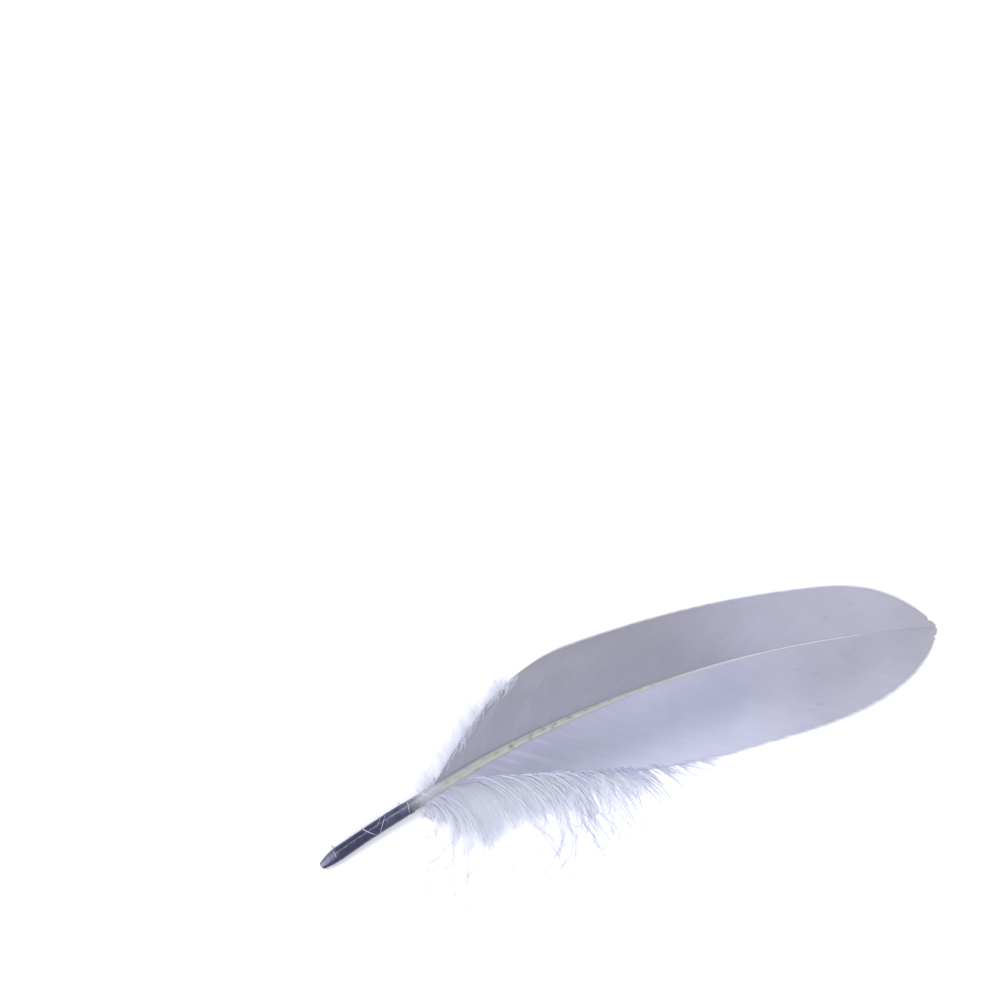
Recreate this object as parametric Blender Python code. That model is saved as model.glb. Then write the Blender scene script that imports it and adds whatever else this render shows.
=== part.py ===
"""A goose quill feather that lies on a table with its upper side up.

Units are metres, and +Z is up. +X runs along the straight line from the cut quill end to the
tip, and +Y points to the leading vane, the narrower one. The shaft bows towards +Y and arches
a little off the table, and both vanes slope down from it until their margins lie flat.
The origin is on the table, below the middle of the feather's box.
"""

import bmesh
import bpy
import numpy as np

# ---- driving dimensions ----------------------------------------------------------------------

CHORD = 0.1713              # from the cut quill end to the tip, in a straight line
BOW = 0.0133                # how far the shaft bows to the side at mid length
SAG = 0.0005                # how far it sags back where the bare quill meets the vanes
SAG_AT = 0.0310
SAG_SPREAD = 0.0140
SWELL = 0.0002              # how much further it bows on its way to the tip
SWELL_AT = 0.1250
SWELL_SPREAD = 0.0220
END_SHIFT = 0.00075         # how far the quill's end leaves the bow, so that the quill is straight
END_SPREAD = 0.0060
CUT_SHIFT = 0.00040         # the cut end narrows mostly from its leading side
ARCH = 0.0040               # how far the shaft's underside arches off the table
ARCH_RISE = 1.2             # powers that set how the arch starts and how it runs out
ARCH_FALL = 1.4

BARREL_RADIUS = 0.00180     # the bare quill, or calamus
CUT_RADIUS = 0.00090        # the quill's cut end
CUT_TAPER = 0.0057          # length over which the quill narrows to its cut end
BARREL_LENGTH = 0.0240      # from here on the shaft tapers all the way to the tip
TAPER_POWER = 1.72
TIP_RADIUS = 0.00012
SHARP_ANGLE = 40            # degrees; edges turned further than this stay sharp

LEADING_WIDTH = 0.0180      # leading vane, from the shaft's middle to its margin
LEADING_NARROWING = 0.048   # how much narrower it gets for each metre towards the tip
LEADING_START = 0.0340
LEADING_FULL = 0.0800       # where it reaches its full width
LEADING_OPENING = 0.9       # power of its opening; below 1 it opens faster
LEADING_TIP_FROM = 0.1430   # where the tip's rounding begins
LEADING_TIP_POWER = 3.5

TRAILING_WIDTH = 0.0246
TRAILING_START = 0.0380
TRAILING_FULL = 0.1150
TRAILING_OPENING = 1.06     # above 1 it opens more slowly
TRAILING_TIP_FROM = 0.0960
TRAILING_TIP_POWER = 4

TIP_ROOT = 1.35             # root of the superellipse that rounds both vanes' tips
VANE_END = 0.1718
VANE_THICKNESS = 0.00030
VANE_INSET = 0.0040         # where a vane is too narrow for a solid sheet, this much is left off
LEADING_SLOPE = 0.0150      # distance from the shaft at which the leading vane meets the table
TRAILING_SLOPE = 0.0165
ROOT_RISE = 0.3             # the vanes leave the shaft this share of its radius above its middle

DOWN_START = 0.0290
DOWN_INSET = 0.0025         # left off each tuft where it narrows to nothing
DOWN_END_INSET = 0.0035
TRAILING_DOWN_END = 0.1040
TRAILING_DOWN_REACH = 0.0200    # how far the down's tips reach past the vane's margin
LEADING_DOWN_END = 0.0660
LEADING_DOWN_REACH = 0.0085
DOWN_SKEW = 0.75            # below 1 the tuft is fullest nearer the quill
DOWN_HEIGHT = 0.0034
DOWN_EDGE_HEIGHT = 0.0006

GAP = 0.0004                # clear space between neighbouring pieces

# ---- resolution ------------------------------------------------------------------------------

SHAFT_RINGS = 56
SHAFT_SIDES = 14
RING_EVEN = 0.35            # share of the rings' spacing that is even; the rest crowds the quill
RING_POWER = 1.6
VANE_STATIONS = 44
STATION_POWER = 1.5         # above 1 the stations crowd the tip
VANE_COLUMNS = 9
DOWN_STATIONS = 26
DOWN_COLUMNS = 6


def clear_scene():
    for thing in list(bpy.data.objects):
        bpy.data.objects.remove(thing, do_unlink=True)


# ---- the feather's lines ---------------------------------------------------------------------

def cut_opening(x):
    """A quarter sine wave from 0 at the cut end to 1 where the barrel is full."""
    return np.sin(np.clip(x / CUT_TAPER, 0, 1) * np.pi / 2)


def shaft_y(x):
    """Sideways place of the shaft's middle: a parabola, set straighter along the quill."""
    t = x / CHORD
    bow = 4 * BOW * t * (1 - t)
    sag = SAG * np.exp(-(((x - SAG_AT) / SAG_SPREAD) ** 2))
    swell = SWELL * np.exp(-(((x - SWELL_AT) / SWELL_SPREAD) ** 2))
    end = END_SHIFT * np.exp(-x / END_SPREAD) - CUT_SHIFT * (1 - cut_opening(x))
    return bow - sag + swell + end


def shaft_radius(x):
    """Half width of the shaft: a short taper at the cut end, the barrel, a long taper."""
    along = np.clip((x - BARREL_LENGTH) / (CHORD - BARREL_LENGTH), 0, 1)
    barrel = CUT_RADIUS + (BARREL_RADIUS - CUT_RADIUS) * cut_opening(x)
    return np.maximum(barrel * (1 - along) ** TAPER_POWER, TIP_RADIUS)


def arch(x):
    """Height of the shaft's underside: zero below the barrel's end, and zero at the tip."""
    w = np.clip((x - CUT_TAPER) / (CHORD - CUT_TAPER), 0, 1)
    peak = ARCH_RISE / (ARCH_RISE + ARCH_FALL)
    top = peak ** ARCH_RISE * (1 - peak) ** ARCH_FALL
    return ARCH * w ** ARCH_RISE * (1 - w) ** ARCH_FALL / top


def shaft_z(x):
    """Height of the shaft's middle. The cut end's middle is in line with the barrel's."""
    return arch(x) + shaft_radius(np.maximum(x, CUT_TAPER))


def opening(x, start, full):
    """A quarter sine wave from 0 at start to 1 at full."""
    return np.sin(np.pi / 2 * np.clip((x - start) / (full - start), 0, 1))


def rounded_tip(x, begins, power):
    """1 before begins, then a superellipse that closes at the end of the vane."""
    b = np.clip((x - begins) / (VANE_END - begins), 0, 1)
    return (1 - b ** power) ** (1 / TIP_ROOT)


def leading_width(x):
    widest = LEADING_WIDTH - LEADING_NARROWING * np.maximum(x - LEADING_FULL, 0)
    opened = opening(x, LEADING_START, LEADING_FULL) ** LEADING_OPENING
    return widest * opened * rounded_tip(x, LEADING_TIP_FROM, LEADING_TIP_POWER)


def trailing_width(x):
    opened = opening(x, TRAILING_START, TRAILING_FULL) ** TRAILING_OPENING
    return TRAILING_WIDTH * opened * rounded_tip(x, TRAILING_TIP_FROM, TRAILING_TIP_POWER)


def down_reach(x, end, reach):
    """How far the down goes past the vane: a skewed half wave between its two ends."""
    a = np.clip((x - DOWN_START) / (end - DOWN_START), 0, 1)
    return reach * np.sin(np.pi * a ** DOWN_SKEW)


# ---- mesh building ---------------------------------------------------------------------------

def make_object(name, bm, material, parent):
    mesh = bpy.data.meshes.new(name)
    bm.to_mesh(mesh)
    bm.free()
    mesh.materials.append(material)
    made = bpy.data.objects.new(name, mesh)
    made.parent = parent
    bpy.context.scene.collection.objects.link(made)
    return made


def make_material(name, colour, roughness):
    material = bpy.data.materials.new(name)
    material.use_nodes = True
    shader = material.node_tree.nodes["Principled BSDF"]
    shader.inputs["Base Color"].default_value = (*colour, 1)
    shader.inputs["Roughness"].default_value = roughness
    shader.inputs["Metallic"].default_value = 0
    material.diffuse_color = (*colour, 1)
    return material


def grid_of(bm, points):
    """Vertices of an array of points, rows by columns, joined by a sheet of quads facing up."""
    rows = [[bm.verts.new(p) for p in row] for row in points]
    for low, high in zip(rows, rows[1:]):
        for a, b, c, d in zip(low, high, high[1:], low[1:]):
            bm.faces.new((a, b, c, d))
    return rows


def make_shaft(material, parent):
    """The quill and the rachis: rings along the shaft's line, bridged, with a flat cap at
    each end."""
    share = np.linspace(0, 1, SHAFT_RINGS)
    x = CHORD * (RING_EVEN * share + (1 - RING_EVEN) * share ** RING_POWER)
    turn = np.linspace(0, 2 * np.pi, SHAFT_SIDES, endpoint=False)
    middle = np.stack([x, shaft_y(x), shaft_z(x)], axis=1)
    along = np.gradient(middle, axis=0)
    along /= np.linalg.norm(along, axis=1, keepdims=True)
    side = np.cross([0, 0, 1], along)
    side /= np.linalg.norm(side, axis=1, keepdims=True)
    up = np.cross(along, side)
    radius = shaft_radius(x)[:, None, None]
    around = np.cos(turn)[None, :, None] * side[:, None] + np.sin(turn)[None, :, None] * up[:, None]
    points = middle[:, None] + radius * around
    bm = bmesh.new()
    rings = [[bm.verts.new(p) for p in ring] for ring in points]
    for low, high in zip(rings, rings[1:]):
        for k in range(SHAFT_SIDES):
            after = (k + 1) % SHAFT_SIDES
            bm.faces.new((low[k], low[after], high[after], high[k]))
    bm.faces.new(rings[0])
    bm.faces.new(rings[-1])
    bmesh.ops.recalc_face_normals(bm, faces=bm.faces)
    shaft = make_object("shaft", bm, material, parent)
    shaft.data.shade_smooth()
    shaft.data.set_sharp_from_angle(angle=np.radians(SHARP_ANGLE))
    return shaft


def make_vane(name, width, start, slope, side, material, parent):
    """A thin sheet from the shaft's side out to the vane's margin. It leaves the shaft level,
    falls in an S to the table at the slope distance, and lies flat from there on."""
    share = np.linspace(0, 1, VANE_STATIONS)
    x = start + (CHORD - start) * (1 - (1 - share) ** STATION_POWER)
    inner = shaft_radius(x) + GAP
    across = np.linspace(0, 1, VANE_COLUMNS)
    distance = (width(x) - inner)[:, None] * across[None, :]
    fall = np.clip(distance / slope, 0, 1)
    root = shaft_z(x) + ROOT_RISE * shaft_radius(x) - TIP_RADIUS
    z = root[:, None] * (1 - fall * fall * (3 - 2 * fall))
    y = shaft_y(x)[:, None] + side * (inner[:, None] + distance)
    points = np.stack([np.broadcast_to(x[:, None], y.shape), y, z], axis=2)
    bm = bmesh.new()
    grid_of(bm, points)
    if side < 0:
        bmesh.ops.reverse_faces(bm, faces=bm.faces)
    vane = make_object(name, bm, material, parent)
    wall = vane.modifiers.new("thickness", "SOLIDIFY")
    wall.thickness = VANE_THICKNESS
    wall.offset = 1
    vane.data.shade_smooth()
    return vane


def make_down(name, width, vane_start, end, reach, side, material, parent):
    """The room that a tuft of down fills: flat below, crowned above, from the shaft's side
    or the vane's margin out to the tips of the barbs."""
    x = np.linspace(DOWN_START + DOWN_INSET, end - DOWN_END_INSET, DOWN_STATIONS)
    covered = np.where(x > vane_start - GAP, width(x), 0)
    inner = np.maximum(shaft_radius(x), covered) + GAP
    outer = width(x) + down_reach(x, end, reach)
    across = np.linspace(0, 1, DOWN_COLUMNS)
    distance = inner[:, None] + (outer - inner)[:, None] * across[None, :]
    y = shaft_y(x)[:, None] + side * distance
    crown = 1 - across[None, :] ** 2
    z = np.broadcast_to(DOWN_EDGE_HEIGHT + DOWN_HEIGHT * crown, y.shape)
    level = np.broadcast_to(x[:, None], y.shape)
    top_points = np.stack([level, y, z], axis=2)
    foot_points = np.stack([level, y, np.zeros_like(y)], axis=2)
    bm = bmesh.new()
    top = grid_of(bm, top_points)
    foot = grid_of(bm, foot_points)
    for above, below in zip(rim_of(top), rim_of(foot)):
        bm.faces.new((above[0], above[1], below[1], below[0]))
    bmesh.ops.recalc_face_normals(bm, faces=bm.faces)
    return make_object(name, bm, material, parent)


def rim_of(rows):
    """The sheet's border as pairs of vertices, once round."""
    loop = rows[0] + [row[-1] for row in rows[1:]] + rows[-1][-2::-1]
    loop += [row[0] for row in rows[-2:0:-1]]
    return list(zip(loop, loop[1:] + loop[:1]))


# ---- the feather -----------------------------------------------------------------------------

def rest_on_origin(base, pieces):
    """Moves the parent so that the box of all pieces stands centred on the origin."""
    bpy.context.view_layer.update()
    graph = bpy.context.evaluated_depsgraph_get()
    corners = []
    for piece in pieces:
        evaluated = piece.evaluated_get(graph)
        corners += [evaluated.matrix_world @ v.co for v in evaluated.data.vertices]
    corners = np.array(corners)
    low, high = corners.min(axis=0), corners.max(axis=0)
    base.location = (-(low[0] + high[0]) / 2, -(low[1] + high[1]) / 2, -low[2])
    bpy.context.view_layer.update()


def main():
    clear_scene()
    base = bpy.data.objects.new("feather", None)
    bpy.context.scene.collection.objects.link(base)
    horn = make_material("horn", (0.42, 0.43, 0.44), 0.35)
    vane = make_material("vane", (0.39, 0.39, 0.52), 0.60)
    down = make_material("down", (0.66, 0.69, 0.84), 0.80)
    leading_start = LEADING_START + VANE_INSET
    trailing_start = TRAILING_START + VANE_INSET
    pieces = [
        make_shaft(horn, base),
        make_vane("leading_vane", leading_width, leading_start, LEADING_SLOPE, 1, vane, base),
        make_vane("trailing_vane", trailing_width, trailing_start, TRAILING_SLOPE, -1, vane, base),
        make_down("leading_down", leading_width, leading_start, LEADING_DOWN_END,
                  LEADING_DOWN_REACH, 1, down, base),
        make_down("trailing_down", trailing_width, trailing_start, TRAILING_DOWN_END,
                  TRAILING_DOWN_REACH, -1, down, base),
    ]
    rest_on_origin(base, pieces)


main()
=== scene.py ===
# %% [markdown]
# # A goose quill feather
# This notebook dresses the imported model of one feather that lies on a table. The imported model
# says where everything is: the shaft, the two vanes and the down at the base of each. Each
# piece made here takes the place of one of those plain solids, barb by barb.

import bpy
import numpy as np
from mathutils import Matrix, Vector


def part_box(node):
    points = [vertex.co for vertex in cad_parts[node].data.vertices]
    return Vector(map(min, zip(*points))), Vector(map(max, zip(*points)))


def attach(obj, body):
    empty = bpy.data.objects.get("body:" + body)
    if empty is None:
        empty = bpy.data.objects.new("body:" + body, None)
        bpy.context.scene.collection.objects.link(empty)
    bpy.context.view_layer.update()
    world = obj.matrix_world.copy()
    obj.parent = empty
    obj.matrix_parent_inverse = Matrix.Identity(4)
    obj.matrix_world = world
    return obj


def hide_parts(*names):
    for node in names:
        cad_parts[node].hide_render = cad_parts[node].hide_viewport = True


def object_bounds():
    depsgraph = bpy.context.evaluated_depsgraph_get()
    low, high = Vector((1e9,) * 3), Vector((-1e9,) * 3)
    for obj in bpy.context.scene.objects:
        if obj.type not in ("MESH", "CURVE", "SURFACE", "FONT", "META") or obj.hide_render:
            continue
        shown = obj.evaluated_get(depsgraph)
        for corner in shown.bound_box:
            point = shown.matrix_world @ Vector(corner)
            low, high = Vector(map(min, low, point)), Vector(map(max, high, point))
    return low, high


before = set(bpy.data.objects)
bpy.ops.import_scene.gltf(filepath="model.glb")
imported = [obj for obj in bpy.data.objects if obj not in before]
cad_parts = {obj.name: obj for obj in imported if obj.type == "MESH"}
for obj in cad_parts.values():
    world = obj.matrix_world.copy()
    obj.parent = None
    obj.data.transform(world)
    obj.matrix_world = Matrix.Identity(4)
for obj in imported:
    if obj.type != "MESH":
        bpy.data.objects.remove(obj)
cad_low, cad_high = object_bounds()
MM = 0.001
print("frame box in mm", [round(v / MM, 1) for v in (*cad_low, *cad_high)])

# %% [markdown]
# ## The feather's lines
# A feather is ruled by one line, its shaft, and everything else is measured from it: how thick
# the shaft is, how far each vane reaches, how high it lies. The lines could be read off the
# solids as lists of points, but a few formulas say the same and can be asked for any place.
# They work from the cut end of the quill, with x along the straight line to the tip.

# %% The shaft's line
CHORD = 171.3 * MM
BOW = 13.3 * MM
SAG, SAG_AT, SAG_SPREAD = 0.5 * MM, 31.0 * MM, 14.0 * MM
SWELL, SWELL_AT, SWELL_SPREAD = 0.2 * MM, 125.0 * MM, 22.0 * MM
END_SHIFT, END_SPREAD, CUT_SHIFT = 0.75 * MM, 6.0 * MM, 0.40 * MM
ARCH, ARCH_RISE, ARCH_FALL = 4.0 * MM, 1.2, 1.4
BARREL_RADIUS, CUT_RADIUS, TIP_RADIUS = 1.80 * MM, 0.90 * MM, 0.12 * MM
CUT_TAPER, BARREL_LENGTH, TAPER_POWER = 5.7 * MM, 24.0 * MM, 1.72


def cut_opening(x):
    """A quarter sine wave from 0 at the cut end to 1 where the barrel is full."""
    return np.sin(np.clip(x / CUT_TAPER, 0, 1) * np.pi / 2)


def shaft_y(x):
    """Sideways place of the shaft's middle: a parabola, less a small bell where it sags, plus
    another where it swells, and an exponential that sets the quill's end straight."""
    t = x / CHORD
    bow = 4 * BOW * t * (1 - t)
    sag = SAG * np.exp(-(((x - SAG_AT) / SAG_SPREAD) ** 2))
    swell = SWELL * np.exp(-(((x - SWELL_AT) / SWELL_SPREAD) ** 2))
    end = END_SHIFT * np.exp(-x / END_SPREAD) - CUT_SHIFT * (1 - cut_opening(x))
    return bow - sag + swell + end


def shaft_radius(x):
    """Half width: a sine opens the cut end, and a power of what is left tapers the rest."""
    along = np.clip((x - BARREL_LENGTH) / (CHORD - BARREL_LENGTH), 0, 1)
    barrel = CUT_RADIUS + (BARREL_RADIUS - CUT_RADIUS) * cut_opening(x)
    return np.maximum(barrel * (1 - along) ** TAPER_POWER, TIP_RADIUS)


def shaft_z(x):
    """Height of the shaft's middle: its radius, on an arch that is a product of two powers."""
    w = np.clip((x - CUT_TAPER) / (CHORD - CUT_TAPER), 0, 1)
    peak = ARCH_RISE / (ARCH_RISE + ARCH_FALL)
    top = peak ** ARCH_RISE * (1 - peak) ** ARCH_FALL
    arch = ARCH * w ** ARCH_RISE * (1 - w) ** ARCH_FALL / top
    return arch + shaft_radius(np.maximum(x, CUT_TAPER))


def shaft_heading(x):
    """Angle of the shaft in plan, from the slope of its line over a tenth of a millimetre."""
    step = 0.05 * MM
    return np.arctan2(shaft_y(x + step) - shaft_y(x - step), 2 * step)


# %% Where the quill's end lies in the frame
every_x = np.linspace(0, CHORD, 2000)
_, shaft_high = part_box("shaft")
QUILL_END = np.array([
    shaft_high.x - CHORD,
    shaft_high.y - (shaft_y(every_x) + shaft_radius(every_x)).max(),
    0.0,
])
print("quill end in mm", (QUILL_END / MM).round(2))

# %% The vanes' lines
VANE_END = 171.8 * MM
TIP_ROOT = 1.35
LEADING_RISE, TRAILING_RISE = 0.3, 0.62


def rounded_tip(x, begins, power):
    """1 before begins, then a superellipse that closes at the end of the vane."""
    b = np.clip((x - begins) / (VANE_END - begins), 0, 1)
    return (1 - b ** power) ** (1 / TIP_ROOT)


def opening(x, start, full):
    """A quarter sine wave from 0 at start to 1 at full."""
    return np.sin(np.pi / 2 * np.clip((x - start) / (full - start), 0, 1))


def leading_width(x):
    """Reach of the leading vane's margin from the shaft's middle."""
    widest = 18.0 * MM - 0.048 * np.maximum(x - 80 * MM, 0)
    return widest * opening(x, 34 * MM, 80 * MM) ** 0.9 * rounded_tip(x, 143 * MM, 3.5)


def trailing_width(x):
    """Reach of the trailing vane's closed part from the shaft's middle."""
    return 24.6 * MM * opening(x, 38 * MM, 115 * MM) ** 1.06 * rounded_tip(x, 96 * MM, 4)


def vane_height(x, distance, slope, rise):
    """Height of a vane: the height of its root, times one minus a smooth step of the
    distance from the shaft over the slope distance."""
    root = shaft_z(x) + rise * shaft_radius(x) - TIP_RADIUS
    fall = np.clip(distance / slope, 0, 1)
    return root * (1 - fall * fall * (3 - 2 * fall))


LEADING = {"side": 1, "width": leading_width, "slope": 15.0 * MM, "rise": LEADING_RISE}
TRAILING = {"side": -1, "width": trailing_width, "slope": 16.5 * MM, "rise": TRAILING_RISE}
for name, vane in (("leading", LEADING), ("trailing", TRAILING)):
    print(name, "vane, widest", round(vane["width"](every_x).max() / MM, 1), "mm")

# %% [markdown]
# ## Smooth noise, and meshes from arrays
# Nothing grown is quite regular, so many shapes here get a little noise. A sum of sine waves
# is smooth at any scale and gives the same result on every run. Each mesh is put together
# from whole arrays, because a feather has tens of thousands of parts, and a loop over them
# in Python would take minutes.

# %% Smooth noise
def ripple(u, seed, slowest=1.0, fastest=8.0, waves=7):
    """Noise of about -1 to 1 along u: a sum of sines whose frequencies lie between slowest
    and fastest, with seeded frequencies and phases."""
    draw = np.random.default_rng(seed)
    frequency = slowest * (fastest / slowest) ** draw.random(waves)
    phase = 2 * np.pi * draw.random(waves)
    angle = 2 * np.pi * frequency * np.asarray(u)[..., None] + phase
    return np.sin(angle).sum(-1) / np.sqrt(waves)


def unit(vectors):
    """Each vector divided by its own length."""
    return vectors / np.linalg.norm(vectors, axis=-1, keepdims=True)


def smooth_step(value, low, high):
    """0 below low, 1 above high, and a cubic that starts and ends level between them."""
    t = np.clip((value - low) / (high - low), 0, 1)
    return t * t * (3 - 2 * t)


# %% Meshes from arrays
LOWEST = 0.01 * MM  # a face at the table's own height would flicker with it


def tube_faces(strands, rings, sides):
    """Faces of closed tubes: quads between each ring and the next, and one many-sided face
    at each end. Vertices are counted by strand, then ring, then side."""
    k = np.arange(sides)
    after = (k + 1) % sides
    row = np.arange(rings - 1)[:, None] * sides
    quad = np.stack([row + k, row + after, row + sides + after, row + sides + k], axis=-1)
    start = (np.arange(strands) * rings * sides)[:, None]
    quads = (start[:, :, None] + quad.reshape(1, -1, 4)).reshape(-1, 4)
    first = start + k[::-1]
    last = start + (rings - 1) * sides + k
    return [quads, np.concatenate([first, last])]


# %% A piece from arrays
def new_piece(name, points, faces, values=None, smooth=True):
    """An object at the origin with its place in its mesh. Points are measured from the quill
    end. values are named numbers, one or three for each vertex, for the material to read."""
    mesh = bpy.data.meshes.new(name)
    corners = np.concatenate([f.ravel() for f in faces]).astype(np.int32)
    sizes = np.concatenate([np.full(len(f), f.shape[1]) for f in faces])
    starts = np.concatenate([[0], np.cumsum(sizes)[:-1]]).astype(np.int32)
    placed = points.reshape(-1, 3) + QUILL_END
    mesh.vertices.add(len(placed))
    mesh.vertices.foreach_set("co", placed.astype(np.float32).ravel())
    mesh.loops.add(len(corners))
    mesh.loops.foreach_set("vertex_index", corners)
    mesh.polygons.add(len(sizes))
    mesh.polygons.foreach_set("loop_start", starts)
    mesh.update(calc_edges=True)
    for label, numbers in (values or {}).items():
        numbers = np.asarray(numbers, np.float32).ravel()
        if len(numbers) == len(placed):
            attribute = mesh.attributes.new(label, "FLOAT", "POINT")
            attribute.data.foreach_set("value", numbers)
        else:
            attribute = mesh.attributes.new(label, "FLOAT_VECTOR", "POINT")
            attribute.data.foreach_set("vector", numbers)
    if smooth:
        mesh.shade_smooth()
    else:
        mesh.shade_flat()
    piece = bpy.data.objects.new(name, mesh)
    bpy.context.scene.collection.objects.link(piece)
    triangles = int((sizes - 2).sum())
    print(f"{name}: {triangles} triangles, faults mended: {mesh.validate()}")
    return piece


# %% What a piece stands for
def hang_on_frame(piece, node, material):
    """Gives the piece its material, hangs it on the root body and hides the solid that it stands
    for.
    """
    piece.data.materials.append(material)
    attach(piece, "root")
    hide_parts(node)


# %% [markdown]
# ## Tools for materials
# Three effects come back on every part of the feather. Horn and barbs are fibrous, so they
# carry fine streaks along the grain. Dye never takes evenly, so there are soft clouds. And
# handling leaves small dark nicks. Each is a node group with named sockets, built once and
# placed in each material with its own values. The groups only put out masks, and the shader
# itself stays in each material.

# %% Node helpers
def place(tree, kind, sockets=None, **settings):
    """Adds a node. Settings are the node's own; a socket is linked to another node's socket
    or set to a plain value."""
    node = tree.nodes.new(kind)
    for name, value in settings.items():
        setattr(node, name, value)
    for name, value in (sockets or {}).items():
        if isinstance(value, bpy.types.NodeSocket):
            tree.links.new(value, node.inputs[name])
        else:
            node.inputs[name].default_value = value
    return node


def math_node(tree, operation, *values):
    """A Math node on up to three sockets or numbers."""
    node = place(tree, "ShaderNodeMath", dict(enumerate(values)), operation=operation)
    return node.outputs[0]


def times(tree, first, second):
    """The product of two sockets or numbers."""
    return math_node(tree, "MULTIPLY", first, second)


def ramp(tree, value, low, high, to_low=0.0, to_high=1.0):
    """A smooth step of a value between two bounds."""
    node = place(tree, "ShaderNodeMapRange", {
        "Value": value, "From Min": low, "From Max": high, "To Min": to_low, "To Max": to_high,
    }, interpolation_type="SMOOTHSTEP")
    return node.outputs["Result"]


def mix_colours(tree, mask, first, second, blend="MIX"):
    """first where the mask is 0 and second where it is 1."""
    node = place(tree, "ShaderNodeMix", data_type="RGBA", blend_type=blend)
    for index, value in ((0, mask), (6, first), (7, second)):
        if isinstance(value, bpy.types.NodeSocket):
            tree.links.new(value, node.inputs[index])
        elif isinstance(value, tuple):
            node.inputs[index].default_value = (*value, 1.0)
        else:
            node.inputs[index].default_value = value
    return node.outputs[2]


def read_value(tree, name):
    """A number kept at each vertex of the piece."""
    return place(tree, "ShaderNodeAttribute", attribute_name=name).outputs["Fac"]


# %% Node groups
def new_group(name, inputs):
    """An empty node group with one Vector input, named number inputs and one Mask output."""
    group = bpy.data.node_groups.new(name, "ShaderNodeTree")
    group.interface.new_socket("Vector", in_out="INPUT", socket_type="NodeSocketVector")
    for label, value in inputs.items():
        socket = group.interface.new_socket(label, in_out="INPUT", socket_type="NodeSocketFloat")
        socket.default_value = value
    group.interface.new_socket("Mask", in_out="OUTPUT", socket_type="NodeSocketFloat")
    return group, place(group, "NodeGroupInput"), place(group, "NodeGroupOutput")


def use_group(tree, group, **sockets):
    """Places a node group and gives its Mask."""
    node = place(tree, "ShaderNodeGroup", node_tree=group)
    for name, value in sockets.items():
        name = name.replace("_", " ").title()
        if isinstance(value, bpy.types.NodeSocket):
            tree.links.new(value, node.inputs[name])
        else:
            node.inputs[name].default_value = value
    return node.outputs["Mask"]


# %% Fibre streaks, dye clouds and nicks
streaks, enter, leave = new_group("fibre_streaks", {"Across": 1.0, "Along": 0.1})
apart = place(streaks, "ShaderNodeSeparateXYZ", {"Vector": enter.outputs["Vector"]})
stretched = place(streaks, "ShaderNodeCombineXYZ", {
    "X": times(streaks, apart.outputs["X"], enter.outputs["Along"]),
    "Y": times(streaks, apart.outputs["Y"], enter.outputs["Across"]),
    "Z": apart.outputs["Z"],
})
grain = place(streaks, "ShaderNodeTexNoise", {
    "Vector": stretched.outputs[0], "Scale": 1.0, "Detail": 3.0, "Roughness": 0.6,
})
streaks.links.new(ramp(streaks, grain.outputs["Fac"], 0.3, 0.7), leave.inputs["Mask"])

clouds, enter, leave = new_group("dye_clouds", {"Scale": 100.0})
broad = place(clouds, "ShaderNodeTexNoise", {
    "Vector": enter.outputs["Vector"], "Scale": enter.outputs["Scale"],
    "Detail": 4.0, "Roughness": 0.55,
})
clouds.links.new(ramp(clouds, broad.outputs["Fac"], 0.3, 0.7), leave.inputs["Mask"])

nicks, enter, leave = new_group("nicks", {"Scale": 400.0, "Rarity": 0.72})
spots = place(nicks, "ShaderNodeTexNoise", {
    "Vector": enter.outputs["Vector"], "Scale": enter.outputs["Scale"],
    "Detail": 2.0, "Roughness": 0.5,
})
over = math_node(nicks, "SUBTRACT", spots.outputs["Fac"], enter.outputs["Rarity"])
nicks.links.new(ramp(nicks, over, 0.0, 0.04), leave.inputs["Mask"])
print("node groups:", [g.name for g in bpy.data.node_groups])


# %% Materials
def new_material(name):
    """A material with only its Principled shader, and the sockets that patterns start from."""
    material = bpy.data.materials.new(name)
    material.use_nodes = True
    tree = material.node_tree
    shader = tree.nodes["Principled BSDF"]
    place_of = place(tree, "ShaderNodeTexCoord").outputs["Object"]
    return material, tree, shader, place_of


def connect(tree, shader, **sockets):
    """Links or sets the shader's sockets by name."""
    for name, value in sockets.items():
        name = name.replace("_", " ").title().replace("Ior", "IOR")
        if isinstance(value, bpy.types.NodeSocket):
            tree.links.new(value, shader.inputs[name])
        else:
            shader.inputs[name].default_value = value


def bump(tree, height, strength, distance):
    """A normal from a height socket."""
    node = place(tree, "ShaderNodeBump", {
        "Height": height, "Strength": strength, "Distance": distance,
    })
    return node.outputs["Normal"]


# %% [markdown]
# ## Camera, light and table
# The feather is seen from straight above, with the tip up and to the right. A long lens keeps
# its low arch from bulging. The table and the light around it are almost white. One lamp alone
# would leave either the barbs or the quill flat, so there are two: a weak, broad one on the
# trailing side models the barbs without a hard shadow, and a smaller, bluish one on the leading
# side makes the bright line along the quill.

# %% Camera
VIEW_WIDTH = 260.0 * MM
VIEW_TURN = np.radians(-21.41)
VIEW_MIDDLE = QUILL_END + np.array([78.0, 72.0, 0.0]) * MM
LENS = 85.0
SENSOR = 36.0
camera = bpy.data.objects.new("camera", bpy.data.cameras.new("camera"))
bpy.context.scene.collection.objects.link(camera)
camera.data.lens = LENS
camera.data.sensor_width = SENSOR
camera.data.clip_start = 1 * MM
camera.location = (*VIEW_MIDDLE[:2], VIEW_WIDTH * LENS / SENSOR)
camera.rotation_euler = (0, 0, VIEW_TURN)
bpy.context.scene.camera = camera
print("camera height in mm", round(camera.location.z / MM))

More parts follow.
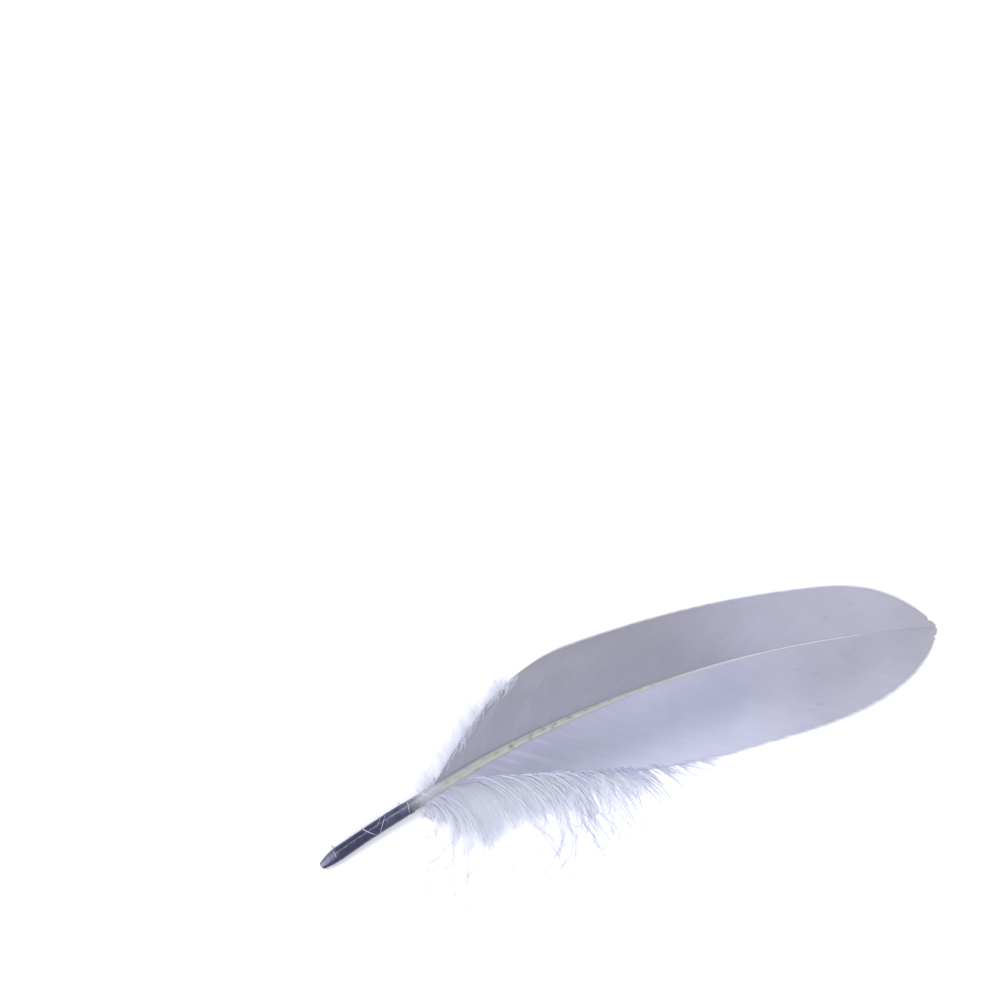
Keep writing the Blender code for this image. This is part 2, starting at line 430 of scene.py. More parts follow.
# %% Table
TABLE_SIZE = 6.0
table_mesh = bpy.data.meshes.new("table")
half = TABLE_SIZE / 2
table_mesh.from_pydata(
    [(-half, -half, 0), (half, -half, 0), (half, half, 0), (-half, half, 0)], [], [(0, 1, 2, 3)])
table = bpy.data.objects.new("table", table_mesh)
bpy.context.scene.collection.objects.link(table)
paper, tree, shader, _ = new_material("white_paper")
connect(tree, shader, base_color=(0.94, 0.945, 0.97, 1), roughness=0.9, specular_ior_level=0.1)
table_mesh.materials.append(paper)
print("table in metres", TABLE_SIZE, "by", TABLE_SIZE)

# %% Light
world = bpy.data.worlds.new("studio")
bpy.context.scene.world = world
world.use_nodes = True
world.node_tree.nodes["Background"].inputs["Color"].default_value = (0.93, 0.95, 1.0, 1)
world.node_tree.nodes["Background"].inputs["Strength"].default_value = 0.98
bpy.context.scene.view_settings.view_transform = "Standard"


def add_lamp(name, bearing, elevation, distance, size, power):
    """A square lamp that looks at the feather. The bearing is from +X, and both angles are
    in degrees."""
    lamp = bpy.data.objects.new(name, bpy.data.lights.new(name, "AREA"))
    lamp.data.shape = "SQUARE"
    lamp.data.size = size
    lamp.data.energy = power
    a, e = np.radians(bearing), np.radians(elevation)
    lamp.location = distance * np.array([np.cos(a) * np.cos(e), np.sin(a) * np.cos(e), np.sin(e)])
    lamp.rotation_euler = (np.pi / 2 - e, 0, a + np.pi / 2)
    bpy.context.scene.collection.objects.link(lamp)
    return lamp


add_lamp("key", bearing=-66, elevation=76, distance=1.1, size=1.1, power=1.4)
back = add_lamp("back", bearing=126, elevation=58, distance=1.0, size=0.40, power=5.0)
back.data.color = (0.92, 0.94, 1.0)

# %% [markdown]
# ## The shaft
# The bare quill is a horn tube. Its outer sheath took the dye almost black, and it ends in a
# ragged, flaking edge where the down begins. Beyond it the shaft turns from a round tube into
# a rounded square beam with a groove along its underside. It could be a curve with a bevel,
# but a curve has the same section from end to end. A grid of rings, each with its own outline,
# can change from one to the other, and can turn back inside at the cut end to show the hollow.

# %% Frames, and noise round a ring
SHAFT_SIDES = 48
FINE_RINGS, PLAIN_RINGS = 420, 460
FINE_UNTIL = 40.0 * MM
SHEATH_EDGE, SHEATH_RAGGED, SHEATH_WALL = 27.2 * MM, 0.40 * MM, 0.035 * MM
TONGUE_LENGTH, CHIP_HEIGHT = 1.1 * MM, 0.16 * MM
CUT_TILT = 0.35
GROOVE_DEPTH, GROOVE_SPREAD = 0.30, 0.42
HOLLOW_DEPTH = np.array([2.4, 1.2, 0.4, 0.1, 0.0]) * MM
HOLLOW_SHARE = np.array([0.40, 0.60, 0.66, 0.70, 0.76])


def ring_noise(phi, seed, lobes=(2, 3, 5, 8)):
    """Noise round a ring: a sum of sines with whole numbers of lobes, so that it closes."""
    phase = 2 * np.pi * np.random.default_rng(seed).random(len(lobes))
    return sum(np.sin(n * phi + p) for n, p in zip(lobes, phase)) / np.sqrt(len(lobes))


def frames_along(path):
    """For paths of points: their direction, the level direction to their left, and their up."""
    along = unit(np.gradient(path, axis=-2))
    left = unit(np.cross(np.array([0.0, 0.0, 1.0]), along))
    return along, left, np.cross(along, left)


# %% Rings of the shaft
outside = np.concatenate([
    np.linspace(0, FINE_UNTIL, FINE_RINGS, endpoint=False),
    np.linspace(FINE_UNTIL, CHORD, PLAIN_RINGS),
])
middle = np.stack([outside, shaft_y(outside), shaft_z(outside)], axis=1)
along, left, up = frames_along(middle)
inside = np.searchsorted(outside, HOLLOW_DEPTH)
order = np.concatenate([inside, np.arange(len(outside))])
share = np.concatenate([HOLLOW_SHARE, np.ones(len(outside))])
share[len(inside):len(inside) + 3] = 0.90, 0.97, 0.99
x = outside[order][:, None]
phi = np.linspace(0, 2 * np.pi, SHAFT_SIDES, endpoint=False)[None, :]
radius = np.maximum(shaft_radius(x), 0.22 * MM * (1 - smooth_step(x, 146 * MM, 164 * MM)))
square = 2 + 1.1 * smooth_step(x, 28 * MM, 55 * MM)
outline = (np.abs(np.cos(phi)) ** square + np.abs(np.sin(phi)) ** square) ** (-1 / square)
from_below = (phi - 1.5 * np.pi) / GROOVE_SPREAD
outline -= GROOVE_DEPTH * np.exp(-from_below ** 2) * smooth_step(x, 27 * MM, 42 * MM)
outline += 0.012 * ring_noise(phi, 11, (3, 5, 9)) * smooth_step(x, 3 * MM, 12 * MM)
outline += 0.010 * ripple(x / CHORD, 12, 6, 40)
ragged = SHEATH_EDGE + SHEATH_RAGGED * ring_noise(phi, 13, (1, 2, 4, 7, 11))
ragged = ragged + TONGUE_LENGTH * np.exp(-(((phi - np.pi) / 0.35) ** 2))
past_edge = ragged - x
wall = SHEATH_WALL * smooth_step(past_edge, 0, 0.25 * MM) * (share[:, None] > 0.95)
chip = np.exp(-(((phi - np.pi) / 0.4) ** 2) - ((past_edge - 0.5 * MM) / (0.5 * MM)) ** 2)
reach = radius * outline * share[:, None] + wall + CHIP_HEIGHT * chip
across, height = reach * np.cos(phi), reach * np.sin(phi)
cut_back = CUT_TILT * (height + radius) * np.exp(-x / (2.5 * MM))
shaft_points = (
    middle[order][:, None]
    + across[..., None] * left[order][:, None]
    + height[..., None] * up[order][:, None]
    + cut_back[..., None] * along[order][:, None]
)
shaft_points[..., 2] = np.maximum(shaft_points[..., 2], LOWEST)
print("shaft length in mm", round(float(np.ptp(shaft_points[..., 0])) / MM, 1))

# %% Marks along the shaft
# Place in mm from the cut end, side as a share of the radius towards the leading vane, and
# strength: dark where it is above zero, and rubbed pale where it is below.
MARKS = np.array([
    (57.5, 0.15, 1.15), (57.6, -0.30, 0.7), (62.8, -0.25, 0.9), (63.3, 0.35, 0.8),
    (66.9, 0.30, 0.9), (69.2, -0.25, 0.8), (70.2, 0.30, 0.9), (73.9, 0.45, 1.0),
    (74.6, 0.05, 0.7), (78.8, 0.35, 0.6), (82.0, 0.55, 0.6), (85.5, 0.35, 0.5),
    (90.0, -0.30, 0.45), (93.8, 0.30, 0.45), (97.2, 0.10, 0.6), (101.5, 0.20, 0.5),
    (116.8, 0.20, 0.5), (53.5, 0.25, 0.55), (44.9, 0.50, 0.5), (38.8, 0.30, 0.6),
    (42.1, -0.25, 0.45), (35.5, -0.35, 0.5), (32.3, -0.60, 0.5), (47.1, -0.85, 1.0),
    (33.8, 0.40, -0.5), (56.1, 0.10, -0.4), (64.8, 0.00, -0.5), (68.3, 0.10, -0.4),
    (71.2, 0.20, -0.6), (76.4, -0.10, -0.4), (94.9, 0.20, -0.6), (103.7, 0.30, -0.4),
    (110.2, 0.30, -0.4), (119.3, 0.30, -0.5), (126.4, 0.30, -0.4), (40.3, -0.20, -0.4),
])
MARK_LONG, MARK_WIDE = 0.55, 0.34
apart_x = x[..., None] / MM - MARKS[:, 0]
apart_side = np.cos(phi)[..., None] - MARKS[:, 1]
bells = np.exp(-(apart_x / MARK_LONG) ** 2 - (apart_side / MARK_WIDE) ** 2)
shaft_marks = (MARKS[:, 2] * bells).sum(-1) * (np.sin(phi) > -0.5)
print("marks on the shaft:", len(MARKS))

# %% [markdown]
# ## Horn
# The horn has three stretches: a glossy sheath, blue-black with slate and purple patches and a
# painted highlight near the cut end; a short greyish, half clear stretch past its ragged edge;
# and the cream beam, a little green where dye has soaked in, that pales to ivory, with painted
# light on its trailing side and painted shade along its leading edge. They could be three
# materials, but they run into each other. So one material blends three colours by the distance
# from the ragged edge, which the mesh carries as a number at each vertex, with noise added for
# the fine teeth.

# %% What the horn reads
def read_vector(tree, name):
    """Three numbers kept at each vertex of the piece."""
    return place(tree, "ShaderNodeAttribute", attribute_name=name).outputs["Vector"]


horn, tree, shader, place_of = new_material("horn")
straight = read_vector(tree, "straight")
edge = read_value(tree, "past_edge")
from_cut = read_value(tree, "from_cut")
lead = read_value(tree, "lead")
fibres = use_group(tree, streaks, vector=straight, across=7.0, along=0.30)
patches = use_group(tree, clouds, vector=straight, scale=0.40)
fine_patches = use_group(tree, clouds, vector=straight, scale=1.3)
marks = use_group(tree, nicks, vector=straight, scale=0.62, rarity=0.64)

# %% Colours of the sheath
lower = ramp(tree, lead, 0.15, -0.25)
sheath = mix_colours(tree, lower, (0.006, 0.010, 0.040), (0.021, 0.017, 0.056))
steel = times(tree, ramp(tree, from_cut, 14.0, 24.0), patches)
sheath = mix_colours(tree, times(tree, steel, 0.7), sheath, (0.055, 0.070, 0.135))
thin = times(tree, ramp(tree, edge, 3.4, 0.4), ramp(tree, lead, -0.65, -0.10))
sheath = mix_colours(tree, times(tree, thin, 0.65), sheath, (0.085, 0.095, 0.145))
sheath = mix_colours(tree, times(tree, fibres, 0.16), sheath, (0.09, 0.085, 0.14))
# painted highlight: a pale slate patch near the cut end, where the lamp's reflection spreads over
# the tapered end
wear_and_highlight = times(tree, ramp(tree, from_cut, 6.5, 0.5), ramp(tree, lead, -0.50, 0.10))
wear_and_highlight = times(tree, wear_and_highlight, ramp(tree, lead, 0.98, 0.55))
wear_and_highlight = times(tree, wear_and_highlight, ramp(tree, patches, 0.0, 1.0, 0.55, 1.0))
sheath = mix_colours(tree, times(tree, wear_and_highlight, 0.8), sheath, (0.40, 0.42, 0.54))
chipped = times(tree, ramp(tree, lead, -0.45, -0.85), ramp(tree, edge, 1.8, 0.6))
sheath = mix_colours(tree, times(tree, chipped, 0.85), sheath, (0.020, 0.018, 0.024))

# %% Colours of the beam
# painted light: the beam is made lighter towards its trailing side, which faces the key lamp
painted_lit_side = ramp(tree, lead, 0.45, -0.35)
cream = mix_colours(tree, painted_lit_side, (0.240, 0.244, 0.228), (0.340, 0.344, 0.312))
ivory = mix_colours(tree, painted_lit_side, (0.288, 0.289, 0.287), (0.382, 0.385, 0.380))
beam = mix_colours(tree, ramp(tree, from_cut, 60.0, 110.0), cream, ivory)
beam = mix_colours(tree, times(tree, fibres, 0.30), beam, (0.42, 0.42, 0.39))
foot = times(tree, ramp(tree, lead, -0.62, -0.92), 0.7)
beam = mix_colours(tree, foot, beam, (0.33, 0.33, 0.39))
# painted shade: a dark band along the beam's leading edge, where it stands above the vane
painted_edge_shade = times(tree, ramp(tree, lead, 0.62, 0.95), 0.8)
beam = mix_colours(tree, painted_edge_shade, beam, (0.16, 0.165, 0.20))
stain = times(tree, marks, ramp(tree, from_cut, 82.0, 62.0, 0.0, 0.6))
mark = read_value(tree, "mark")
stain = math_node(tree, "MAXIMUM", stain, mark)
beam = mix_colours(tree, times(tree, stain, 0.65), beam, (0.13, 0.125, 0.11))
rubbed = math_node(tree, "MAXIMUM", times(tree, mark, -0.5), 0.0)
beam = mix_colours(tree, rubbed, beam, (0.52, 0.52, 0.50))
fine = times(tree, ramp(tree, from_cut, 98.0, 124.0), ramp(tree, lead, 0.98, 0.60))
beam = mix_colours(tree, times(tree, fine, 0.85), beam, (0.47, 0.47, 0.50))
thin_end = ramp(tree, from_cut, 146.0, 164.0)
beam = mix_colours(tree, thin_end, beam, (0.30, 0.30, 0.38))

# %% Horn material
mottled = math_node(tree, "ADD", edge, times(tree, fine_patches, 2.2))
light_grey = mix_colours(tree, fine_patches, (0.29, 0.29, 0.33), (0.36, 0.36, 0.39))
dark_grey = mix_colours(tree, fine_patches, (0.080, 0.085, 0.115), (0.155, 0.160, 0.195))
body = mix_colours(tree, ramp(tree, mottled, -12.0, -5.0), beam, light_grey)
body = mix_colours(tree, ramp(tree, mottled, -3.4, 0.6), body, dark_grey)
teeth = times(tree, math_node(tree, "SUBTRACT", fine_patches, 0.5), 1.6)
dyed = ramp(tree, math_node(tree, "ADD", edge, teeth), -0.35, 0.35)
colour = mix_colours(tree, dyed, body, sheath)
connect(
    tree, shader, base_color=colour,
    roughness=ramp(tree, dyed, 0.0, 1.0, 0.45, 0.30),
    normal=bump(tree, fibres, 0.10, 0.03 * MM),
    coat_weight=ramp(tree, dyed, 0.0, 1.0, 0.55, ramp(tree, fine_patches, 0.0, 1.0, 0.40, 0.85)),
)
shader.inputs["Specular IOR Level"].default_value = 0.08
shader.inputs["Coat Roughness"].default_value = 0.31
print("horn:", len(tree.nodes), "nodes")

# %% Shaft
straight_points = np.stack(
    [np.broadcast_to(x, across.shape), across, height], axis=-1) / MM
shaft = new_piece(
    "quill_and_rachis", shaft_points, tube_faces(1, len(order), SHAFT_SIDES),
    values={
        "straight": straight_points,
        "past_edge": past_edge / MM,
        "from_cut": np.broadcast_to(x, across.shape) / MM,
        "lead": np.broadcast_to(np.cos(phi), across.shape),
        "mark": shaft_marks,
    },
)
hang_on_frame(shaft, "shaft", horn)

# %% [markdown]
# ## The vanes
# A vane is a few hundred barbs side by side, zipped edge to edge into a web. One thin sheet
# with a stripe pattern would do from afar, but its margin would be a clean cut, and each
# barb's ridge would be paint. So each barb is its own closed strip. It starts in the shaft,
# curves towards the tip and thins to a point at the margin. Where it ends comes from the
# vane's outline: the point where a straight line from its root crosses it, found by halving.

# %% Roots of the barbs
BARB_STEPS = 34
BARB_PITCH = 0.30 * MM
BARB_LIFT = 0.12 * MM
BARB_BEND = np.radians(9)
BARB_HALF_THICKNESS = 0.028 * MM
BARB_OVERLAP = 1.12


def roots_along(first, last, angle):
    """Places along the shaft for barbs that stand BARB_PITCH apart, measured square to
    them: equal steps of the running sum of the sine of their angle."""
    fine = np.linspace(first, last, 4000)
    count = np.concatenate([[0], np.cumsum(np.sin(angle(fine[:-1])) * np.diff(fine))])
    total = int(count[-1] / BARB_PITCH)
    return np.interp(np.linspace(0, count[-1], total), count, fine)


# %% Where a barb meets the margin
def crossing(root, turn, vane):
    """Place along x where a straight line from the shaft, at an angle to it, crosses the
    vane's margin: forty halvings of the stretch between the root and the vane's end."""
    slope = np.tan(shaft_heading(root) + vane["side"] * turn)
    near, far = root.copy(), np.full_like(root, VANE_END)
    for _ in range(40):
        half_way = (near + far) / 2
        line = shaft_y(root) + (half_way - root) * slope
        within = vane["side"] * (line - shaft_y(half_way)) < vane["width"](half_way)
        near = np.where(within, half_way, near)
        far = np.where(within, far, half_way)
    return near


# %% Paths of the barbs
def barb_paths(root, turn, trim, vane):
    """Middle lines of barbs: a parabola (a curve with one control point) from the shaft's
    side to the margin less trim, laid on the vane's height."""
    side = vane["side"]
    end_x = crossing(root, turn, vane)
    within = 0.7 - 0.6 * smooth_step(root, 130 * MM, 160 * MM)
    start = np.stack([root, shaft_y(root) + side * within * shaft_radius(root)], axis=1)
    end = np.stack([end_x, shaft_y(end_x) + side * vane["width"](end_x)], axis=1)
    span = np.linalg.norm(end - start, axis=1, keepdims=True)
    end = end - (end - start) * np.clip(trim[:, None] / span, 0, 0.4)
    heading = shaft_heading(root) + side * (turn + BARB_BEND)
    toward = np.stack([np.cos(heading), np.sin(heading)], axis=1)
    control = start + 0.5 * span * toward
    t = (1 - (1 - np.linspace(0, 1, BARB_STEPS)) ** 1.35)[None, :, None]
    rest = 1 - t
    plan = rest ** 2 * start[:, None] + 2 * t * rest * control[:, None] + t ** 2 * end[:, None]
    x, y = plan[..., 0], plan[..., 1]
    distance = np.maximum(side * (y - shaft_y(x)) - shaft_radius(x), 0)
    z = vane_height(x, distance, vane["slope"], vane["rise"]) + BARB_LIFT
    return np.dstack([x, y, z]), t[0, :, 0], span[:, 0]


# %% Barb strips
STRIP = np.array([(-1, 0.0), (0, -0.8), (1, 0.35), (0.4, 0.45), (0, 1.0), (-0.4, 0.35)])


def barb_strips(paths, smooth_paths, t):
    """Closed strips along the paths. Their width is the gap between neighbours of the
    smooth paths, and narrows to a point at the end; their section is a low ridge."""
    along = unit(np.gradient(paths, axis=1))
    beside = np.gradient(smooth_paths, axis=0)
    normal = np.cross(along, beside)
    normal = unit(normal * np.sign(normal[..., 2:]))
    across = np.cross(normal, along)
    half_width = 0.5 * BARB_OVERLAP * np.abs((beside * across).sum(-1))
    taper = 1 - smooth_step(t, 0.90, 1.0) * 0.97
    half_width = np.clip(half_width, 0.02 * MM, 0.6 * MM) * taper
    thickness = BARB_HALF_THICKNESS * (1 - 0.55 * t) * np.minimum(taper + 0.1, 1)
    offset = (
        STRIP[:, 0, None] * half_width[:, :, None, None] * across[:, :, None]
        + STRIP[:, 1, None] * thickness[:, None, None] * normal[:, :, None]
    )
    points = paths[:, :, None] + offset
    points[..., 2] = np.maximum(points[..., 2], LOWEST)
    return points, half_width


# %% Flecks and pale streaks
# Place in mm along the straight line and beside the shaft, and strength.
FLECKS = np.array([
    (133.5, -6.6, 0.35), (137.9, -8.1, 0.30), (146.0, -4.4, 0.35), (146.9, -9.8, 0.30),
    (136.1, -16.7, 0.40), (133.6, -17.8, 0.30), (145.5, 5.8, 0.35), (152.9, 8.5, 0.28),
    (107, 8.6, 0.20), (92, 6.2, 0.20), (99, -9.0, 0.15), (147, -12.0, 0.20),
]) * np.array([MM, MM, 1.0])
FLECK_LONG, FLECK_WIDE = 0.75 * MM, 0.40 * MM


def flecks_at(points):
    """Strength of the dark flecks at points: the largest of some bells, each with a place
    along the shaft, a place to its side and a strength."""
    x = points[..., 0, None] - FLECKS[:, 0]
    y = points[..., 1, None] - shaft_y(points[..., 0, None]) - FLECKS[:, 1]
    return (FLECKS[:, 2] * np.exp(-(x / FLECK_LONG) ** 2 - (y / FLECK_WIDE) ** 2)).max(-1)


# Place in mm along and beside the straight line to the tip, heading in degrees, length and
# width in mm, and strength. The last one, on the leading vane, is a painted highlight: a lens of
# sheen along the barbs near the base.
STREAKS = np.array([
    (59.8, 8.8, -35, 5.2, 0.55, 0.75), (55.6, 8.6, -35, 3.2, 0.45, 0.55),
    (52.6, 7.6, -37, 2.2, 0.40, 0.75), (47.4, 6.9, -32, 5.0, 0.75, 0.80),
    (65.2, 10.2, -33, 2.4, 0.40, 0.55), (73.6, 8.2, -37, 4.0, 0.45, 0.35),
    (64.0, 5.0, -38, 3.0, 0.50, 0.30), (55.8, 21.8, 38, 6.2, 0.85, 0.55),
]) * np.array([MM, MM, np.pi / 180, MM, MM, 1.0])


def streaks_at(points):
    """Strength of the pale streaks at points: a sum of long bells, each with its place, its
    heading, its length and width, and a strength."""
    x = points[..., 0, None] - STREAKS[:, 0]
    y = points[..., 1, None] - STREAKS[:, 1]
    along = x * np.cos(STREAKS[:, 2]) + y * np.sin(STREAKS[:, 2])
    across = y * np.cos(STREAKS[:, 2]) - x * np.sin(STREAKS[:, 2])
    bells = np.exp(-(along / STREAKS[:, 3]) ** 2 - (across / STREAKS[:, 4]) ** 2)
    return (STREAKS[:, 5] * bells).sum(-1)


# %% A vane
def make_vane(name, vane, first, last, angle, trim_of, seed):
    """The strips of one vane, with what its material needs to know at each vertex."""
    draw = np.random.default_rng(seed)
    root = roots_along(first, last, angle)
    turn = angle(root)
    none = np.zeros_like(root)
    smooth_paths, t, _ = barb_paths(root, turn, none, vane)
    sway = np.radians(0.08) * ripple(root / CHORD, seed + 1, 10, 60) * np.minimum(turn / 0.5, 1)
    trim = trim_of(root, draw)
    paths, t, span = barb_paths(root, turn + sway, trim, vane)
    points, half_width = barb_strips(paths, smooth_paths, t)
    clump = 0.5 + 0.22 * ripple(root / CHORD, seed + 2, 8, 70)
    tone = np.clip(clump + 0.10 * draw.standard_normal(len(root)), 0, 1)
    shape = points.shape[:3]
    length = np.broadcast_to((span[:, None] * t)[:, :, None], shape)
    offset = STRIP[:, 0] * half_width[:, :, None]
    number = np.broadcast_to(np.arange(len(root))[:, None, None] * 3.7, shape)
    piece = new_piece(
        name, points, tube_faces(len(root), BARB_STEPS, len(STRIP)),
        values={
            "straight": np.stack([length / MM, offset / MM, number], axis=-1),
            "out": np.broadcast_to(t[None, :, None], shape),
            "tone": np.broadcast_to(tone[:, None, None], shape),
            "fleck": flecks_at(points),
            "pale": streaks_at(points),
        },
        smooth=False,
    )
    print(f"{name}: {len(root)} barbs")
    return piece


# %% Angles and worn ends of the barbs
def leading_angle(x):
    """Angle between a leading barb and the shaft: it closes towards the tip."""
    t = np.clip((x - 34 * MM) / (VANE_END - 34 * MM), 0, 1)
    return np.radians(46 - 17 * smooth_step(x, 30 * MM, 76 * MM) - 5 * t - 11 * t ** 4)


def trailing_angle(x):
    """Angle between a trailing barb and the shaft: it hardly changes before the tip."""
    t = np.clip((x - 38 * MM) / (VANE_END - 38 * MM), 0, 1)
    return np.radians(41 - 5 * t - 20 * t ** 4)


def leading_trim(root, draw):
    """How much is missing from the end of each leading barb: a little everywhere, and a
    small bite near the tip."""
    wear_and_highlight = np.abs(draw.standard_normal(len(root))) * 0.04 * MM
    bite = 0.9 * MM * np.exp(-(((root - 163.6 * MM) / (0.7 * MM)) ** 2))
    return wear_and_highlight + bite


def trailing_trim(root, draw):
    """The same for the trailing barbs, with a nick near the tip."""
    wear_and_highlight = np.abs(draw.standard_normal(len(root))) * 0.06 * MM
    nick = 0.7 * MM * np.exp(-(((root - 164.8 * MM) / (0.6 * MM)) ** 2))
    return wear_and_highlight + nick


# %% [markdown]
# ## Dyed barbs
# The vanes are satin: lavender-grey, bluer on the trailing side, paler and warmer along the
# margins and towards the tip, and each barb took the dye a little differently. Part of it is
# painted light and shade: the leading vane is painted darker, and the trailing vane's margin
# lighter, for their slopes away from and towards the key lamp. Fine ribs cross each barb where
# its barbules lie. The ribs and streaks follow the barb and not the table, so they read the
# straightened coordinates that the mesh carries: along the barb and across.

# %% Barb material
def barb_material(name, base, middle, tip, first_step, painted_margin_light):
    """Satin barbs whose colour runs from base to middle over the first step, then to the tip.
    The last argument is how much lighter the barbs' outer ends are: painted light where the vane
    slopes down towards the lamp."""
    material, tree, shader, place_of = new_material(name)
    straight = read_vector(tree, "straight")
    out, tone = read_value(tree, "out"), read_value(tree, "tone")
    x = place(tree, "ShaderNodeSeparateXYZ", {"Vector": place_of}).outputs["X"]
    first, last = float(cad_low.x), float(cad_high.x)
    run = ramp(tree, x, first + 45 * MM, last)
    colour = mix_colours(tree, ramp(tree, run, *first_step), base, middle)
    colour = mix_colours(tree, ramp(tree, run, 0.55, 1.0), colour, tip)
    worn_tip = ramp(tree, x, last - 12 * MM, last - 2 * MM)
    colour = mix_colours(tree, worn_tip, colour, (0.91, 0.90, 0.87), "MULTIPLY")
    # painted light: the outer ends of the barbs are made lighter, most on the trailing vane, which
    # slopes towards the lamp
    lighter = tuple(c * (1 + painted_margin_light) for c in (1.0, 0.99, 0.96))
    towards_margin = times(
        tree, ramp(tree, out, 0.25, 0.95), ramp(tree, run, 0.5, 0.9, 1.0, 0.3))
    colour = mix_colours(tree, towards_margin, colour, lighter, "MULTIPLY")
    broad = use_group(tree, clouds, vector=place_of, scale=55.0)
    colour = mix_colours(tree, times(tree, broad, 0.7), colour, (0.88, 0.88, 0.91), "MULTIPLY")
    streak = use_group(tree, streaks, vector=straight, across=2.2, along=0.16)
    amount = times(tree, times(tree, streak, tone), ramp(tree, run, 0.0, 0.35, 1.0, 0.55))
    colour = mix_colours(tree, amount, colour, (1.13, 1.12, 1.10), "MULTIPLY")
    # pale streaks from the mesh; the last of them, on the leading vane, is a painted highlight
    pale = read_value(tree, "pale")
    colour = mix_colours(tree, pale, colour, (1.24, 1.24, 1.20), "MULTIPLY")
    specks = use_group(tree, nicks, vector=place_of, scale=420.0, rarity=0.745)
    specks = times(tree, specks, 0.25)
    flecked = math_node(tree, "MAXIMUM", specks, read_value(tree, "fleck"))
    colour = mix_colours(tree, flecked, colour, (0.19, 0.19, 0.26))
    wave = place(tree, "ShaderNodeTexWave", {
        "Vector": straight, "Scale": 2.2, "Distortion": 0.6, "Detail": 1.0,
    }, bands_direction="X")
    ribs = math_node(tree, "ADD", wave.outputs["Fac"], streak)
    connect(
        tree, shader, base_color=colour,
        roughness=ramp(tree, streak, 0.0, 1.0, 0.66, 0.56),
        normal=bump(tree, ribs, 0.06, 0.02 * MM),
    )
    shader.inputs["Sheen Weight"].default_value = 0.12
    shader.inputs["Sheen Roughness"].default_value = 0.4
    print(f"{name}: {len(tree.nodes)} nodes")
    return material


# partly dye and partly painted light: the leading vane's darker colours are painted shade, and the
# trailing vane's lighter margin is painted light, for the two vanes' slopes away from and towards
# the key lamp
leading_dye_and_shade = barb_material(
    "leading_barbs", base=(0.220, 0.216, 0.264), middle=(0.280, 0.276, 0.354),
    tip=(0.345, 0.340, 0.410), first_step=(0.40, 0.78), painted_margin_light=0.04)
trailing_dye_and_light = barb_material(
    "trailing_barbs", base=(0.284, 0.287, 0.374), middle=(0.348, 0.350, 0.448),
    tip=(0.322, 0.317, 0.376), first_step=(0.0, 0.35), painted_margin_light=0.33)

# %% Both vanes
leading_barbs = make_vane(
    "leading_vane_barbs", LEADING, 35.0 * MM, 170.2 * MM, leading_angle, leading_trim, 100)
hang_on_frame(leading_barbs, "leading_vane", leading_dye_and_shade)
trailing_barbs = make_vane(
    "trailing_vane_barbs", TRAILING, 39.0 * MM, 170.2 * MM, trailing_angle, trailing_trim, 200)
hang_on_frame(trailing_barbs, "trailing_vane", trailing_dye_and_light)

# %% [markdown]
# ## Down
# Where a barb's barbules have no hooks, nothing zips it to its neighbours, and it stays a
# loose plume: a thread with long, limp barbules on both sides. Hair curves would be the quick
# way, but only meshes last. So each thread is a thin closed tube that follows a heading which
# turns as it goes, and each barbule is a bent spindle of six triangles: a point, a ring of
# three and a point. There are so many that they make a haze, as real down does.

# %% Threads
THREAD_STEPS = 18
THREAD_SIDES = 3
BARBULE_THICKNESS = 0.022 * MM
TABLE_CLEARANCE = 0.05 * MM
SOFT_EDGE, SOFT_DEPTH = -20.0 * MM, 9.0 * MM


def grow_threads(start, heading, turn_to, length, lift, curl, draw, hook=0.0, steps=THREAD_STEPS):
    """Paths that leave start at a heading and turn to another one, with a curl that grows
    along them, and a hook past their middle. The plan is the running sum of equal steps
    along the heading. The height falls from the start's to the table, over a hump of height
    lift. A hyperbolic tangent turns aside the threads that reach too far from the shaft."""
    t = np.linspace(0, 1, steps)[None, :]
    turn = (turn_to - heading)[:, None] * t ** 0.65
    phase = 2 * np.pi * draw.random((len(start), 1))
    waves = 0.6 + 1.4 * draw.random((len(start), 1))
    bend = curl[:, None] * t * np.sin(2 * np.pi * waves * t + phase)
    hooked = np.reshape(hook, (-1, 1)) * smooth_step(t, 0.60, 0.85)
    angle = heading[:, None] + turn + bend + hooked
    step = (length / (steps - 1))[:, None]
    x = start[:, :1] + np.cumsum(np.cos(angle) * step, axis=1) - np.cos(angle[:, :1]) * step
    y = start[:, 1:2] + np.cumsum(np.sin(angle) * step, axis=1) - np.sin(angle[:, :1]) * step
    y = np.where(y < SOFT_EDGE, SOFT_EDGE + SOFT_DEPTH * np.tanh((y - SOFT_EDGE) / SOFT_DEPTH), y)
    fall = start[:, 2:] * (1 - t) ** 1.6
    hump = lift[:, None] * np.sin(np.pi * t ** 0.8) ** 1.5
    wobble = 0.25 * lift[:, None] * t * np.sin(2 * np.pi * (waves + 0.7) * t + phase)
    return np.dstack([x, y, np.maximum(fall + hump + wobble, TABLE_CLEARANCE)])


def thread_tubes(paths, thickness, end=0.33):
    """Closed three-sided tubes that thin to the share end of their thickness."""
    _, left, up = frames_along(paths)
    taper = np.linspace(1, end, paths.shape[1])[None, :, None, None]
    phi = 2 * np.pi * np.arange(THREAD_SIDES) / THREAD_SIDES
    radius = np.reshape(thickness, (-1, 1, 1, 1)) / 2 * taper
    around = np.cos(phi)[:, None] * left[:, :, None] + np.sin(phi)[:, None] * up[:, :, None]
    return paths[:, :, None] + radius * around


